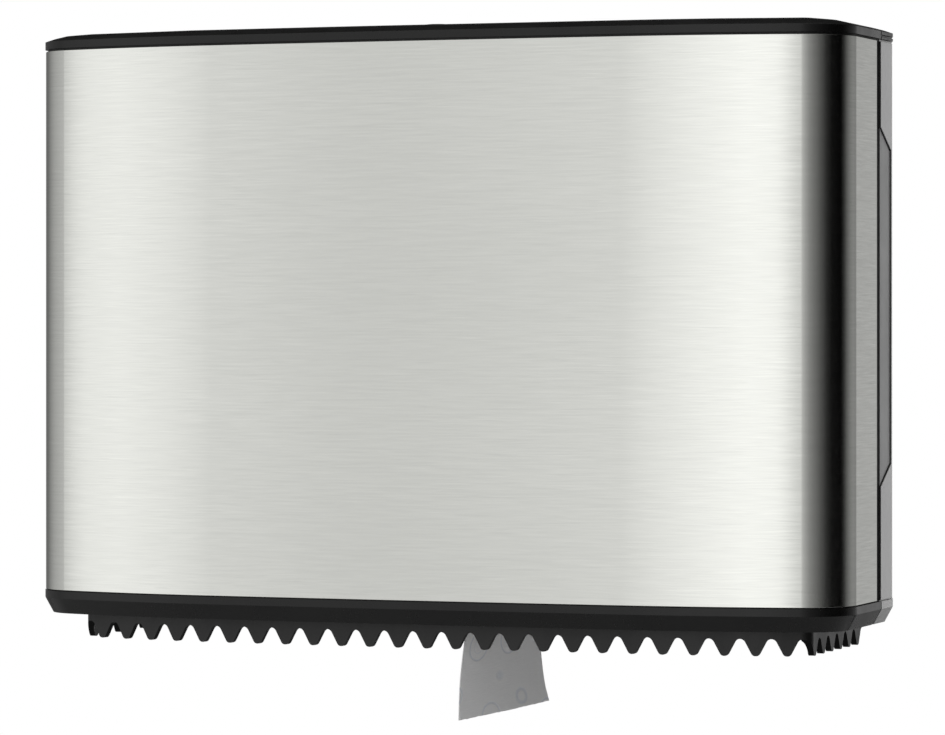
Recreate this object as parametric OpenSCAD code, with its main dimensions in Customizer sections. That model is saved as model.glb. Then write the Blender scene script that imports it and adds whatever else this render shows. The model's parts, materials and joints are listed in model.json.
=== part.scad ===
// Wall-mounted jumbo toilet roll dispenser: a steel-fronted cover hinged at the bottom of a
// plastic rear shell, a serrated tear edge, a roll hub with a part-used roll and a stub hub.
// +Z is up, +X is to the right, -Y faces the room. The origin is on the wall, midway
// between the four wall holes.

/* [Body] */
// Overall width of the steel front
body_w = 352; // [335:1:400]
// Depth from the wall to the middle of the front
body_d = 132; // [132:1:150]
// Height of the steel panel
steel_h = 225; // [223:1:250]
// Drop from the origin to the lower edge of the steel
steel_drop = 116.6; // [115:0.1:125]
// Thickness of the steel sheet
steel_t = 0.8; // [0.5:0.1:1.2]
// Turn of the near-flat middle of the front, in degrees
front_turn = 1.6; // [1.2:0.1:3]
// Radius of each shoulder of the front
shoulder_r = 296; // [240:1:340]
// Turn of each shoulder, in degrees
shoulder_turn = 13.9; // [10:0.1:16]
// Radius of the two front corners
corner_r = 22.6; // [22:0.1:28]

/* [Shell walls and seams] */
// Wall thickness of the rear shell
shell_t = 2.4; // [2:0.1:3]
// Depth of the rear shell from the wall to the seam with the cover
shell_d = 62.3; // [58:0.1:66]
// Depth of the narrowing part of the rear shell
taper_d = 45.8; // [40:0.1:46]
// Angle at which the rear shell narrows towards the wall
taper_angle = 18; // [10:1:20]
// Gap between the cover and the rear shell
seam_gap = 0.9; // [0.6:0.1:1.4]
// Strip of the cover frame that shows behind the steel
frame_strip = 5.4; // [3:0.1:8]
// Thickness of the plastic cover frame
frame_t = 2; // [1.6:0.1:2.6]
// Shadow gap above and below the steel
shadow_gap = 0.9; // [0.5:0.1:1.2]

/* [Trims] */
// Overhang of both trims past the steel
trim_lip = 0.3; // [0:0.1:0.6]
// Height of the upright face of the top trim
top_band_h = 3.2; // [2.5:0.1:5]
// Rise of the crowned top
crown_h = 3.5; // [2:0.1:4]
// Width of the crown's slope
crown_w = 18; // [14:1:20]
// Height of the upright face of the bottom trim
low_band_h = 3.1; // [2:0.1:5]
// Height of the chamfered face of the bottom trim
chamfer_h = 6.3; // [5:0.1:8]
// How far the chamfered face leans in
chamfer_in = 3.4; // [2:0.1:4]
// Wall thickness of the trims
trim_t = 2.2; // [1.8:0.1:2.4]

/* [Tear edge] */
// Distance of the tear edge inside the body outline
edge_inset = 17.6; // [16:0.1:18]
// Thickness of the tear edge
edge_t = 2.5; // [2:0.1:2.8]
// Plain height of the tear edge above its teeth
edge_plain_h = 4.2; // [3:0.1:6]
// Height of each tooth
tooth_h = 6.8; // [5:0.1:7.5]
// Spacing of the teeth
tooth_pitch = 12.48; // [11.5:0.01:14]
// Radius in each valley between teeth
valley_r = 2.3; // [1.4:0.1:2.6]
// Slope of the tooth flanks, in degrees
flank_angle = 62; // [60:1:66]
// Flat width at each tip
tip_flat = 0.4; // [0.2:0.1:1]
// Number of teeth on each side of the middle tooth
edge_teeth = 18; // [16:1:18]

/* [Bottom tray] */
// Thickness of the tray
tray_t = 2.6; // [2:0.1:3.5]
// Distance of the tray's front edge inside the body outline
tray_inset = 10.5; // [10:0.1:13]
// Width of the tray beside and behind its opening
tray_rim = 11.5; // [10:0.5:13]

/* [Cover hinge] */
// Radius of the two hinge pins
pin_r = 1.5; // [1.2:0.1:1.8]
// Outer radius of the hinge lugs and ears
lug_r = 3.3; // [3:0.1:3.4]
// Distance of the hinge axis in front of the rear shell's edge
hinge_ahead = 3.9; // [3.9:0.1:5]
// Width of each ear of the rear shell
ear_w = 3.5; // [3:0.1:4]

/* [Roll and hubs] */
// Radius of the part-used roll
roll_r = 86.5; // [50:0.5:90]
// Room between the paper and the middle of the front
roll_front_room = 21; // [21:1:30]
// Radius of the hole in the roll's core
core_r = 22; // [21.5:0.1:24]
// Thickness of the core tube
core_t = 1.2; // [0.8:0.1:2]
// Distance of the main roll's axis from the left side of the body
roll_side = 104; // [103:1:116]
// Distance of the stub roll's axis from the right side of the body
stub_side = 81; // [78:1:84]
// Radius of each axle
axle_r = 4; // [3:0.1:5]
// Radius of each hub's barrel
hub_r = 19; // [17:0.1:19.5]
// Wall thickness of each hub's barrel
hub_t = 2.4; // [2:0.1:3]
// Radius of each hub's back flange
flange_r = 38; // [30:1:42]
// Length of each hub
hub_l = 87.5; // [80:0.5:88]
// Drop of the paper tail below the origin
tail_drop = 165.4; // [150:1:180]
// Thickness of the paper tail
tail_t = 0.5; // [0.5:0.1:1]

/* [Lock] */
// Radius of the lock barrel
lock_r = 7.4; // [6:0.1:7.8]
// Distance of the lock behind the middle of the front
lock_inset = 31.3; // [28:0.1:34]
// Height of the barrel above the crowned top
lock_rise = 0.7; // [0.6:0.1:2]
// Play between the hook of the latch and its keeper
hook_gap = 1.4; // [0.8:0.1:2]

/* [Wall fixing] */
// Sideways spacing of the wall holes
hole_dx = 250; // [240:1:260]
// Upright spacing of the wall holes
hole_dz = 160; // [150:1:170]
// Radius of the wall holes
hole_r = 2.75; // [2:0.05:3.25]

/* [Grips] */
// Height of the recess in each side of the rear shell, at the seam
grip_h = 145; // [110:1:160]
// Height of the middle of the recess above the origin
grip_z = 1.4; // [-10:0.1:10]
// Width of the plain strip between the recess and the start of the taper
grip_land = 0.7; // [0.5:0.1:4]
// Depth of the recess into the wall
grip_in = 1.6; // [1:0.1:1.6]

/* [Hidden] */
$fn = 64;

eps = 0.01;
fit = 0.02;                 // radial gap of a pressed pin or screw
run = 0.05;                 // radial gap of a running fit
gap = 0.3;                  // gap between pieces that move past each other
seat = 0.1;                 // gap between pieces of one body

half_w = body_w / 2;
roll_x = roll_side - half_w;
stub_x = half_w - stub_side;
lock_d = body_d - lock_inset;
seam_y = -shell_d;
cover_y = seam_y - seam_gap;
steel_y = cover_y - frame_strip;

// Heights, from the lowest up
steel_z0 = -steel_drop;
steel_z1 = steel_z0 + steel_h;
low_z1 = steel_z0 - shadow_gap / 2;
low_z0 = low_z1 - low_band_h;
base_z = low_z0 - chamfer_h;
top_z0 = steel_z1 + shadow_gap;
top_z1 = top_z0 + top_band_h;
crown_z = top_z1 + crown_h;
ceiling_z = crown_z - trim_t - 0.3;

// The crown's slope eases off as it rises: height and inset at the share t of its width
crown_steps = [0.2, 0.45, 1];
function crown_at(t) = top_z1 + crown_h * (1 - (1 - t) * (1 - t));
function crown_inset(t) = (crown_w + trim_lip) * t - trim_lip;

// Arcs of the body outline: front, shoulder, corner
turn2 = front_turn + shoulder_turn;
front_r = shoulder_r + (half_w - corner_r - (shoulder_r - corner_r) * sin(turn2)) / sin(front_turn);
front_c = [0, -body_d + front_r];
shoulder_c = front_c + (front_r - shoulder_r) * [sin(front_turn), -cos(front_turn)];
corner_c = shoulder_c + (shoulder_r - corner_r) * [sin(turn2), -cos(turn2)];

function reverse(p) = [for (i = [len(p) - 1 : -1 : 0]) p[i]];
function flip(p) = [for (q = p) [-q[0], q[1]]];
function arc(c, r, a0, a1, n, from = 0) =
    [for (i = [from : n]) let (a = a0 + (a1 - a0) * i / n) c + r * [sin(a), -cos(a)]];

// Right half of the outline, set in by d, from the middle of the front back to y_end
function half_line(d, y_end) = concat(
    arc(front_c, front_r - d, 0, front_turn, 4),
    arc(shoulder_c, shoulder_r - d, front_turn, turn2, 8, 1),
    arc(corner_c, corner_r - d, turn2, 90, 10, 1),
    [[half_w - d, y_end]]);
function whole_line(d, y_end) =
    concat(flip(reverse(half_line(d, y_end))), [for (i = [1 : 22]) half_line(d, y_end)[i]],
        [half_line(d, y_end)[23]]);

// Place and heading at length s along the outline set in by d, from the middle of the front
function run_front(d) = (front_r - d) * front_turn * PI / 180;
function run_shoulder(d) = (shoulder_r - d) * shoulder_turn * PI / 180;
function run_corner(d) = (corner_r - d) * (90 - turn2) * PI / 180;
function turn_of(l, r) = l / r * 180 / PI;
function at(s, d) =
    let (l1 = run_front(d), l2 = l1 + run_shoulder(d), l3 = l2 + run_corner(d))
    s < l1 ? spot(front_c, front_r - d, turn_of(s, front_r - d))
    : s < l2 ? spot(shoulder_c, shoulder_r - d, front_turn + turn_of(s - l1, shoulder_r - d))
    : s < l3 ? spot(corner_c, corner_r - d, turn2 + turn_of(s - l2, corner_r - d))
    : [half_w - d, corner_c[1] + s - l3, 90];
function spot(c, r, a) = [c[0] + r * sin(a), c[1] - r * cos(a), a];

module footprint(d, y_end) {
    polygon(whole_line(d, y_end));
}

module wall_line(d0, d1, y_end) {
    polygon(concat(whole_line(d0, y_end), reverse(whole_line(d1, y_end))));
}

module slab(z0, z1) {
    translate([0, 0, z0]) linear_extrude(z1 - z0) children();
}

// Rear shell in plan, set in by d: straight at the seam, then narrowing to the wall
bend_r = 6;
function rear_half(d, y_wall, y_front) = concat(
    [[half_w - d, y_front]],
    [for (i = [0 : 4]) let (a = taper_angle * i / 4)
        [half_w - bend_r + (bend_r - d) * cos(a), -taper_d + (bend_r - d) * sin(a)]],
    [[rear_x(d, y_wall), y_wall]]);
bend_x = half_w - bend_r + bend_r * cos(taper_angle);
bend_y = -taper_d + bend_r * sin(taper_angle);
function rear_x(d, y) = bend_x - (y - bend_y) * tan(taper_angle) - d / cos(taper_angle);

module rear_plan(d, y_wall = 0, y_front = seam_y) {
    right = rear_half(d, y_wall, y_front);
    polygon(concat(right, flip(reverse(right))));
}

// Mirrors its children onto both sides
module both_sides() {
    for (side = [0, 1]) mirror([side, 0, 0]) children();
}

// Turns a shape drawn up Z so that Z runs from the wall into the room
module from_wall(x, z = 0) {
    translate([x, 0, z]) rotate([90, 0, 0]) children();
}

// ---- Rear shell and what is fixed to it

plate_t = 3;
hinge_y = seam_y - hinge_ahead;
hinge_z = base_z + lug_r + 0.2;
ear_x = half_w - 14.8;
lug_x = ear_x + ear_w + 0.5;
lug_w = half_w + trim_lip - chamfer_in - 0.1 - lug_x;
floor_t = 2.2;
wall_pad_r = 9;
wall_pad_h = 2;
ledge_x = 130;
ledge_w = 20;
ledge_h = 10;
ledge_y = -plate_t - 13.4;
tray_z0 = base_z + 0.4;
tray_z1 = tray_z0 + tray_t;
tray_side = ear_x - 0.7;
tray_back = plate_t + 0.2;
tray_screw_y = (ledge_y - plate_t) / 2;
small_screw_r = 1.5;
small_head_r = 2.8;
small_head_h = 1.8;
groove_h = 0.7;
groove_in = 0.8;
grip_slope = 9;
grip_d = shell_d - taper_d - grip_land;

module chamfered_base(line_out, line_in) {
    difference() {
        hull() {
            slab(low_z0, low_z1) children(0);
            slab(base_z, base_z + eps) children(1);
        }
        hull() {
            slab(low_z0, low_z1 + eps) children(2);
            slab(base_z - eps, base_z) children(3);
        }
    }
}

module grip_outline(inset) {
    polygon([[seam_y - 1, grip_z + grip_h / 2 - inset], [seam_y, grip_z + grip_h / 2 - inset],
        [seam_y + grip_d - inset, grip_z + grip_h / 2 - grip_slope - inset],
        [seam_y + grip_d - inset, grip_z - grip_h / 2 + grip_slope + inset],
        [seam_y, grip_z - grip_h / 2 + inset], [seam_y - 1, grip_z - grip_h / 2 + inset]]);
}

// Extrudes a (y, z) outline along X, from x0 to x1
module along_x(x0, x1) {
    translate([x0, 0, 0]) rotate([90, 0, 90]) linear_extrude(x1 - x0) children();
}

module ear() {
    difference() {
        union() {
            translate([ear_x, hinge_y, hinge_z]) rotate([0, 90, 0]) cylinder(r = lug_r, h = ear_w);
            translate([ear_x, hinge_y, base_z + 0.2])
                cube([ear_w, seam_y + 3 - hinge_y, 2 * lug_r]);
            intersection() {
                translate([ear_x, seam_y + 2, base_z + 0.2]) cube([ear_w, shell_d, 2 * lug_r]);
                slab(base_z, low_z1) rear_plan(chamfer_in + 0.2, -plate_t);
            }
        }
        translate([ear_x - 1, hinge_y, hinge_z]) rotate([0, 90, 0])
            cylinder(r = pin_r + fit, h = ear_w + 2);
    }
}

module rear_shell() color([0.1, 0.1, 0.1]) {
    difference() {
        union() {
            difference() {
                slab(steel_z0, steel_z1) rear_plan(0);
                slab(steel_z0 - 1, steel_z1 + 1) rear_plan(shell_t, -plate_t, seam_y - 1);
            }
            difference() {
                slab(low_z1, top_z0) rear_plan(groove_in);
                slab(low_z1 - 1, top_z0 + 1) rear_plan(shell_t, -plate_t, seam_y - 1);
            }
            chamfered_base() {
                rear_plan(-trim_lip);
                rear_plan(chamfer_in - trim_lip);
                rear_plan(trim_t - trim_lip, -plate_t, seam_y - 1);
                rear_plan(chamfer_in + trim_t - trim_lip, -plate_t, seam_y - 1);
            }
            intersection() {
                slab(base_z, base_z + floor_t) rear_plan(chamfer_in);
                both_sides() translate([ear_x, seam_y + 2.3, base_z])
                    cube([half_w, shell_d - 2.3, floor_t]);
            }
            both_sides() ear();
            both_sides() translate([ledge_x - ledge_w / 2, ledge_y, tray_z1])
                cube([ledge_w, -ledge_y - plate_t + eps, ledge_h]);
            for (x = [-1, 1] * hole_dx / 2, z = [-1, 1] * hole_dz / 2)
                from_wall(x, z) cylinder(r = wall_pad_r, h = plate_t + wall_pad_h);
        }
        for (x = [-1, 1] * hole_dx / 2, z = [-1, 1] * hole_dz / 2)
            from_wall(x, z) translate([0, 0, -1])
                cylinder(r = hole_r, h = plate_t + wall_pad_h + 2);
        both_sides() along_x(half_w - grip_in, half_w + 1) grip_outline(0);
        for (x = [roll_x, stub_x], a = [45 : 90 : 315])
            from_wall(x) rotate(a) translate([bracket_pcd / 2, 0, 0.6])
                cylinder(r = small_screw_r + fit, h = plate_t);
        both_sides() translate([ledge_x, tray_screw_y, tray_z1 - 1])
            cylinder(r = small_screw_r + fit, h = ledge_h - 1);
    }
}

module rear_top_cap() color([0.1, 0.1, 0.1]) {
    groove_z = top_z0 + 1;
    difference() {
        hull() {
            slab(top_z0, top_z1) rear_plan(-trim_lip);
            for (t = crown_steps) slab(crown_at(t) - 0.1, crown_at(t)) rear_plan(crown_inset(t));
        }
        slab(groove_z, groove_z + groove_h) difference() {
            rear_plan(-trim_lip - 1, 1, seam_y - 1);
            rear_plan(groove_in, 2, seam_y - 2);
        }
        hull() {
            slab(top_z0 - 1, top_z0 + 1.2) rear_plan(trim_t, -plate_t, seam_y - 1);
            slab(ceiling_z - 0.1, ceiling_z) rear_plan(crown_w + 2, -plate_t, seam_y - 1);
        }
        for (x = [-1, 1] * keeper_screw_x) translate([x, keeper_screw_y, ceiling_z - 1])
            cylinder(r = small_screw_r + fit, h = 2.2);
    }
}

module grip_insert() {
    along_x(half_w - grip_in, half_w - 0.5) intersection() {
        grip_outline(0.35);
        translate([seam_y, -half_w]) square([grip_d, body_w]);
    }
}

module grip_insert_left() color([0.16, 0.16, 0.16]) {
    mirror([1, 0, 0]) grip_insert();
}

module grip_insert_right() color([0.16, 0.16, 0.16]) {
    grip_insert();
}

module bottom_tray() color([0.12, 0.12, 0.12]) {
    slab(tray_z0, tray_z1) difference() {
        intersection() {
            footprint(tray_inset, -tray_back);
            translate([-tray_side, -body_d]) square([2 * tray_side, body_d]);
            rear_plan(chamfer_in + trim_t + 0.4, -tray_back, -body_d);
        }
        intersection() {
            footprint(edge_inset + edge_t + 0.2, ledge_y - 0.2);
            translate([-tray_side + tray_rim, -body_d]) square([2 * (tray_side - tray_rim), body_d]);
        }
        both_sides() translate([ledge_x, tray_screw_y]) circle(r = small_screw_r + 0.1);
    }
}

module screw(r, head_r, head_h, l) {
    translate([0, 0, -head_h]) cylinder(r = head_r, h = head_h);
    cylinder(r = r, h = l);
}

module tray_screws() color([0.7, 0.7, 0.7]) {
    both_sides() translate([ledge_x, tray_screw_y, tray_z0])
        screw(small_screw_r, small_head_r, small_head_h, tray_t + ledge_h - 3);
}

// Half of one tooth, drawn with the valleys' crests at y = 0: fillet, flank and rounded tip
half_pitch = tooth_pitch / 2;
flank_rise = sin(flank_angle);
flank_lift = 1 - cos(flank_angle);
tip_x = half_pitch - tip_flat / 2;
tip_r = ((tip_x - valley_r * flank_rise) * tan(flank_angle) + valley_r * flank_lift - tooth_h)
    / (flank_rise * tan(flank_angle) - flank_lift);
crest_turn = 12;

function tooth_side() = concat(
    [[half_pitch - valley_r * sin(crest_turn), 1]],
    [for (i = [0 : 3]) let (a = crest_turn + (flank_angle - crest_turn) * i / 3)
        [half_pitch - valley_r * sin(a), valley_r * (cos(a) - 1)]],
    [for (i = [4 : -1 : 0]) let (a = flank_angle * i / 4)
        [tip_flat / 2 + tip_r * sin(a), -tooth_h + tip_r * (1 - cos(a))]]);

tooth_depth = edge_t / 2 + 1.8;
module tooth() {
    side = tooth_side();
    rotate([90, 0, 0]) translate([0, 0, -tooth_depth]) linear_extrude(2 * tooth_depth)
        polygon(concat(side, flip(reverse(side))));
}

edge_mid = edge_inset + edge_t / 2;
edge_end = at((edge_teeth + 0.5) * tooth_pitch, edge_mid)[1];
edge_z1 = tray_z0;
edge_z0 = edge_z1 - edge_plain_h;

module tear_edge() color([0.12, 0.12, 0.12]) {
    intersection() {
        slab(edge_z0 - tooth_h, edge_z1) wall_line(edge_inset, edge_inset + edge_t, edge_end);
        union() {
            translate([-body_w, -2 * body_d, edge_z0]) cube([2 * body_w, 3 * body_d, 2 * edge_plain_h]);
            translate([0, at(0, edge_mid)[1], edge_z0]) tooth();
            both_sides() for (k = [1 : edge_teeth]) {
                p = at(k * tooth_pitch, edge_mid);
                translate([p[0], p[1], edge_z0]) rotate(p[2]) tooth();
            }
        }
    }
}

module hinge_pins() color([0.75, 0.75, 0.75]) {
    both_sides() translate([ear_x, hinge_y, hinge_z]) rotate([0, 90, 0])
        cylinder(r = pin_r, h = lug_x + lug_w - 1.4 - ear_x);
}

// ---- Hubs: the same set of pieces stands at the main roll and at the stub roll

bracket_r = 34;
bracket_t = 4;
bracket_pcd = 52;
boss_r = 11;
boss_top = 12.6;
washer_t = 1.2;
hub_play = 0.8;
hub_z = boss_top + washer_t + hub_play;
hub_flange_t = 2.8;
side_gap = 0.6;
roll_back = hub_z + hub_flange_t + side_gap;
paper_w = body_d - roll_back - roll_front_room;
clip_z = hub_z + hub_l + 1;
clip_t = 1.2;
clip_groove = 0.8;
clip_out = 4;
axle_top = clip_z + 3.5;
web_t = 3;
bush_r = axle_r + 2;
bush_l = 14;
hub_boss_r = bush_r + 2.5;

module bracket() {
    difference() {
        union() {
            translate([0, 0, plate_t]) cylinder(r = bracket_r, h = bracket_t);
            translate([0, 0, plate_t]) cylinder(r = boss_r, h = boss_top - plate_t);
            for (a = [0 : 90 : 270]) rotate(a) translate([0, -1.5, plate_t])
                rotate([90, 0, 0]) mirror([0, 0, 1]) linear_extrude(3)
                    polygon([[boss_r - 1, 0], [bracket_r - 4, 0], [bracket_r - 4, bracket_t],
                        [boss_r - 1, boss_top - plate_t - 2]]);
        }
        translate([0, 0, plate_t + 1]) cylinder(r = axle_r + fit, h = boss_top);
        for (a = [45 : 90 : 315]) rotate(a) translate([bracket_pcd / 2, 0, 0])
            cylinder(r = small_screw_r + 0.1, h = plate_t + bracket_t + 1);
    }
}

module axle() {
    difference() {
        translate([0, 0, plate_t + 1]) cylinder(r = axle_r, h = axle_top - plate_t - 1);
        translate([0, 0, clip_z]) difference() {
            cylinder(r = axle_r + 1, h = clip_t);
            translate([0, 0, -1]) cylinder(r = axle_r - clip_groove, h = clip_t + 2);
        }
    }
}

module clip() {
    translate([0, 0, clip_z + seat]) difference() {
        cylinder(r = axle_r + clip_out, h = clip_t - 2 * seat);
        translate([0, 0, -1]) cylinder(r = axle_r - clip_groove + run, h = clip_t + 2);
        translate([0, -1.2 - axle_r / 2, -1]) cube([axle_r + clip_out + 1, 2.4 + axle_r, clip_t + 2]);
    }
}

module washer() {
    translate([0, 0, boss_top + seat]) difference() {
        cylinder(r = boss_r - 1, h = washer_t);
        translate([0, 0, -1]) cylinder(r = axle_r + gap, h = washer_t + 2);
    }
}

module hub() {
    difference() {
        union() {
            translate([0, 0, hub_z]) cylinder(r = flange_r, h = hub_flange_t);
            translate([0, 0, hub_z]) cylinder(r = hub_r, h = hub_l);
        }
        difference() {
            translate([0, 0, hub_z - 1]) cylinder(r = hub_r - hub_t, h = hub_l + 2);
            translate([0, 0, hub_z]) cylinder(r = hub_boss_r, h = hub_l - 2);
            translate([0, 0, hub_z + hub_l / 2]) cylinder(r = hub_r, h = web_t);
            for (a = [0 : 60 : 300]) rotate(a) translate([0, -1, hub_z])
                cube([hub_r - 1, 2, hub_l - 4]);
        }
        translate([0, 0, hub_z - 1]) cylinder(r = bush_r + fit, h = hub_l + 2);
        for (a = [30 : 120 : 270]) rotate(a) for (z = spring_ends)
            translate([hub_r - 1.2, -spring_w / 2 - 0.2, z - 1]) cube([3, spring_w + 0.4, 2.4]);
    }
}

module bushes() {
    for (z = [hub_z + seat, hub_z + hub_l - 2 - bush_l]) translate([0, 0, z]) difference() {
        cylinder(r = bush_r, h = bush_l);
        translate([0, 0, -1]) cylinder(r = axle_r + run, h = bush_l + 2);
    }
}

// Leaf springs that grip the inside of the core
spring_w = 8;
spring_t = 0.6;
spring_set = 22;
spring_z = hub_z + spring_set;
spring_l = 48;
spring_ends = [spring_z, spring_z + spring_l];
spring_play = 0.15;
spring_bow = sqrt(pow(core_r, 2) - pow(spring_w / 2, 2)) - hub_r - 0.05 - spring_t - spring_play;

function leaf(r) = [for (i = [0 : 12]) [hub_r + r + spring_bow * sin(180 * i / 12),
    spring_z + spring_l * i / 12]];

module springs() {
    for (a = [30 : 120 : 270]) rotate(a) translate([0, spring_w / 2, 0]) rotate([90, 0, 0])
        linear_extrude(spring_w) union() {
            polygon(concat(leaf(0.05), reverse(leaf(0.05 + spring_t))));
            for (z = spring_ends) translate([hub_r - 1.1, z - 0.3])
                square([1.2 + spring_t, spring_t]);
        }
}

module spindle_bracket() color([0.3, 0.3, 0.32]) {
    from_wall(roll_x) bracket();
}

module stub_bracket() color([0.3, 0.3, 0.32]) {
    from_wall(stub_x) bracket();
}

module main_axle() color([0.75, 0.75, 0.75]) {
    from_wall(roll_x) axle();
}

module stub_axle() color([0.75, 0.75, 0.75]) {
    from_wall(stub_x) axle();
}

module axle_clip() color([0.6, 0.6, 0.6]) {
    from_wall(roll_x) clip();
}

module stub_clip() color([0.6, 0.6, 0.6]) {
    from_wall(stub_x) clip();
}

module brake_washer() color([0.65, 0.65, 0.6]) {
    from_wall(roll_x) washer();
}

module stub_washer() color([0.65, 0.65, 0.6]) {
    from_wall(stub_x) washer();
}

module bracket_screws() color([0.7, 0.7, 0.7]) {
    for (x = [roll_x, stub_x], a = [45 : 90 : 315])
        from_wall(x) rotate(a) translate([bracket_pcd / 2, 0, plate_t + bracket_t])
            rotate([180, 0, 0]) screw(small_screw_r, small_head_r, small_head_h, plate_t + bracket_t - 0.8);
}

module roll_hub() color([0.35, 0.35, 0.37]) {
    from_wall(roll_x) hub();
}

module stub_hub() color([0.35, 0.35, 0.37]) {
    from_wall(stub_x) hub();
}

module hub_bushes() color([0.9, 0.9, 0.85]) {
    from_wall(roll_x) bushes();
}

module stub_bushes() color([0.9, 0.9, 0.85]) {
    from_wall(stub_x) bushes();
}

module core_springs() color([0.7, 0.7, 0.7]) {
    from_wall(roll_x) springs();
}

module stub_springs() color([0.7, 0.7, 0.7]) {
    from_wall(stub_x) springs();
}

module roll_core() color([0.72, 0.62, 0.5]) {
    from_wall(roll_x) translate([0, 0, roll_back]) difference() {
        cylinder(r = core_r + core_t, h = paper_w);
        translate([0, 0, -1]) cylinder(r = core_r, h = paper_w + 2);
    }
}

module paper_roll() color([0.96, 0.96, 0.95]) {
    from_wall(roll_x) translate([0, 0, roll_back]) difference() {
        cylinder(r = roll_r, h = paper_w, $fn = 128);
        translate([0, 0, -1]) cylinder(r = core_r + core_t + fit, h = paper_w + 2);
    }
}

module paper_tail() color([0.93, 0.93, 0.93]) {
    translate([roll_x + roll_r + gap, -roll_back - paper_w, -tail_drop])
        cube([tail_t, paper_w, tail_drop]);
}

// ---- Cover

frame_in = steel_t + seat;
flange_w = 11;
flange_t = 2;
screw_inset = frame_in + frame_t + small_head_r + 1.3;
low_screw_inset = frame_in + frame_t + small_head_r + 0.4;
low_flange_w = low_screw_inset - frame_in + small_head_r;
screw_runs = [42, 118];
low_boss_r = 2.8;
low_boss_h = low_band_h + chamfer_h - 1;
trim_screw_l = 4.2;

// Places its children at each trim screw, on both sides of the middle
module at_screws(inset, z) {
    both_sides() for (s = screw_runs) {
        p = at(s, inset);
        translate([p[0], p[1], z]) children();
    }
}

module steel_panel() color([0.75, 0.76, 0.74]) {
    slab(steel_z0, steel_z1) wall_line(0, steel_t, steel_y);
}

module cover_frame() color([0.12, 0.12, 0.12]) {
    difference() {
        union() {
            slab(low_z1, top_z0) wall_line(frame_in, frame_in + frame_t, cover_y);
            slab(top_z0 - flange_t, top_z0) wall_line(frame_in, frame_in + flange_w, cover_y);
            slab(low_z1, low_z1 + flange_t) wall_line(frame_in, frame_in + low_flange_w, cover_y);
        }
        at_screws(screw_inset, top_z0 - flange_t - 1) cylinder(r = small_screw_r + 0.1, h = flange_t + 2);
        at_screws(low_screw_inset, low_z1 - 1) cylinder(r = small_screw_r + 0.1, h = flange_t + 2);
    }
}

module top_trim() color([0.08, 0.08, 0.08]) {
    difference() {
        union() {
            difference() {
                hull() {
                    slab(top_z0, top_z1) footprint(-trim_lip, cover_y);
                    for (t = crown_steps)
                        slab(crown_at(t) - eps, crown_at(t)) footprint(crown_inset(t), cover_y);
                }
                hull() {
                    slab(top_z0 - eps, top_z0 + 1.2) footprint(trim_t, cover_y + 1);
                    slab(ceiling_z - eps, ceiling_z) footprint(crown_w + 2, cover_y + 1);
                }
            }
            intersection() {
                at_screws(screw_inset, top_z0) cylinder(r = 3.5, h = ceiling_z - top_z0);
                slab(top_z0, top_z1) footprint(0, cover_y);
            }
        }
        at_screws(screw_inset, top_z0 - 1) cylinder(r = small_screw_r + fit, h = 3.6);
        translate([0, -lock_d, top_z0]) cylinder(r = lock_r + run, h = crown_z - top_z0 + 1);
    }
}

// The cover's lower rear corner is cut back so that it swings clear of the rear shell
swing_r = hinge_ahead - 0.25;
relief_low = [sqrt(swing_r * swing_r - pow(lug_r + 0.2, 2)), -lug_r - 0.2];
relief_rear = [hinge_ahead - seam_gap, -sqrt(swing_r * swing_r - pow(hinge_ahead - seam_gap, 2))];
relief_dir = (relief_rear - relief_low) / norm(relief_rear - relief_low);
relief_out = [relief_dir[1], -relief_dir[0]];

module bottom_trim() color([0.08, 0.08, 0.08]) {
    difference() {
        union() {
            chamfered_base() {
                footprint(-trim_lip, cover_y);
                footprint(chamfer_in - trim_lip, cover_y);
                footprint(trim_t - trim_lip, cover_y + 1);
                footprint(chamfer_in + trim_t - trim_lip, cover_y + 1);
            }
            at_screws(low_screw_inset, low_z1 - low_boss_h) cylinder(r = low_boss_r, h = low_boss_h);
            both_sides() translate([lug_x, hinge_y, hinge_z]) rotate([0, 90, 0])
                cylinder(r = lug_r, h = lug_w);
        }
        at_screws(low_screw_inset, low_z1 - low_boss_h + 1) cylinder(r = small_screw_r + fit, h = low_boss_h);
        both_sides() translate([lug_x - 1, hinge_y, hinge_z]) rotate([0, 90, 0])
            cylinder(r = pin_r + run, h = lug_w);
        both_sides() translate([0, hinge_y, hinge_z]) along_x(lug_x + 1, half_w + 2)
            polygon([relief_low - 4 * relief_dir, relief_rear + 4 * relief_dir,
                relief_rear + 4 * relief_dir + 6 * relief_out,
                relief_low - 4 * relief_dir + 6 * relief_out]);
    }
}

module trim_screws() color([0.7, 0.7, 0.7]) {
    at_screws(screw_inset, top_z0 - flange_t) screw(small_screw_r, small_head_r, small_head_h, trim_screw_l);
    at_screws(low_screw_inset, low_z1 + flange_t) rotate([180, 0, 0])
        screw(small_screw_r, small_head_r, small_head_h, flange_t + 3);
}

// ---- Lock and latch, on the cover

cam_drop = 9.8;
cam_z1 = top_z0 - cam_drop;
cam_t = 2.5;
cam_w = 7;
hook_t = 2.5;
hook_w = 6;
hook_h = 3.5;
barrel_z0 = cam_z1;
housing_rise = 2.6;
housing_z0 = cam_z1 + housing_rise;
housing_wall = 3.5;
housing_flange_r = 14;
housing_flange_t = 2.2;
keeper_t = 1.8;
keeper_w = 14;
keeper_y = seam_y + 1.1;
cam_l = lock_d + keeper_y + keeper_t + hook_gap + hook_t;
keeper_screw_x = 4;
keeper_l = 20;
keeper_plate_t = 2;
keeper_screw_in = 13;
keeper_screw_y = keeper_y + keeper_screw_in;
keeper_drop = 0.7;
slot_w = 1.2;
slot_l = lock_r + 0.5;

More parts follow.
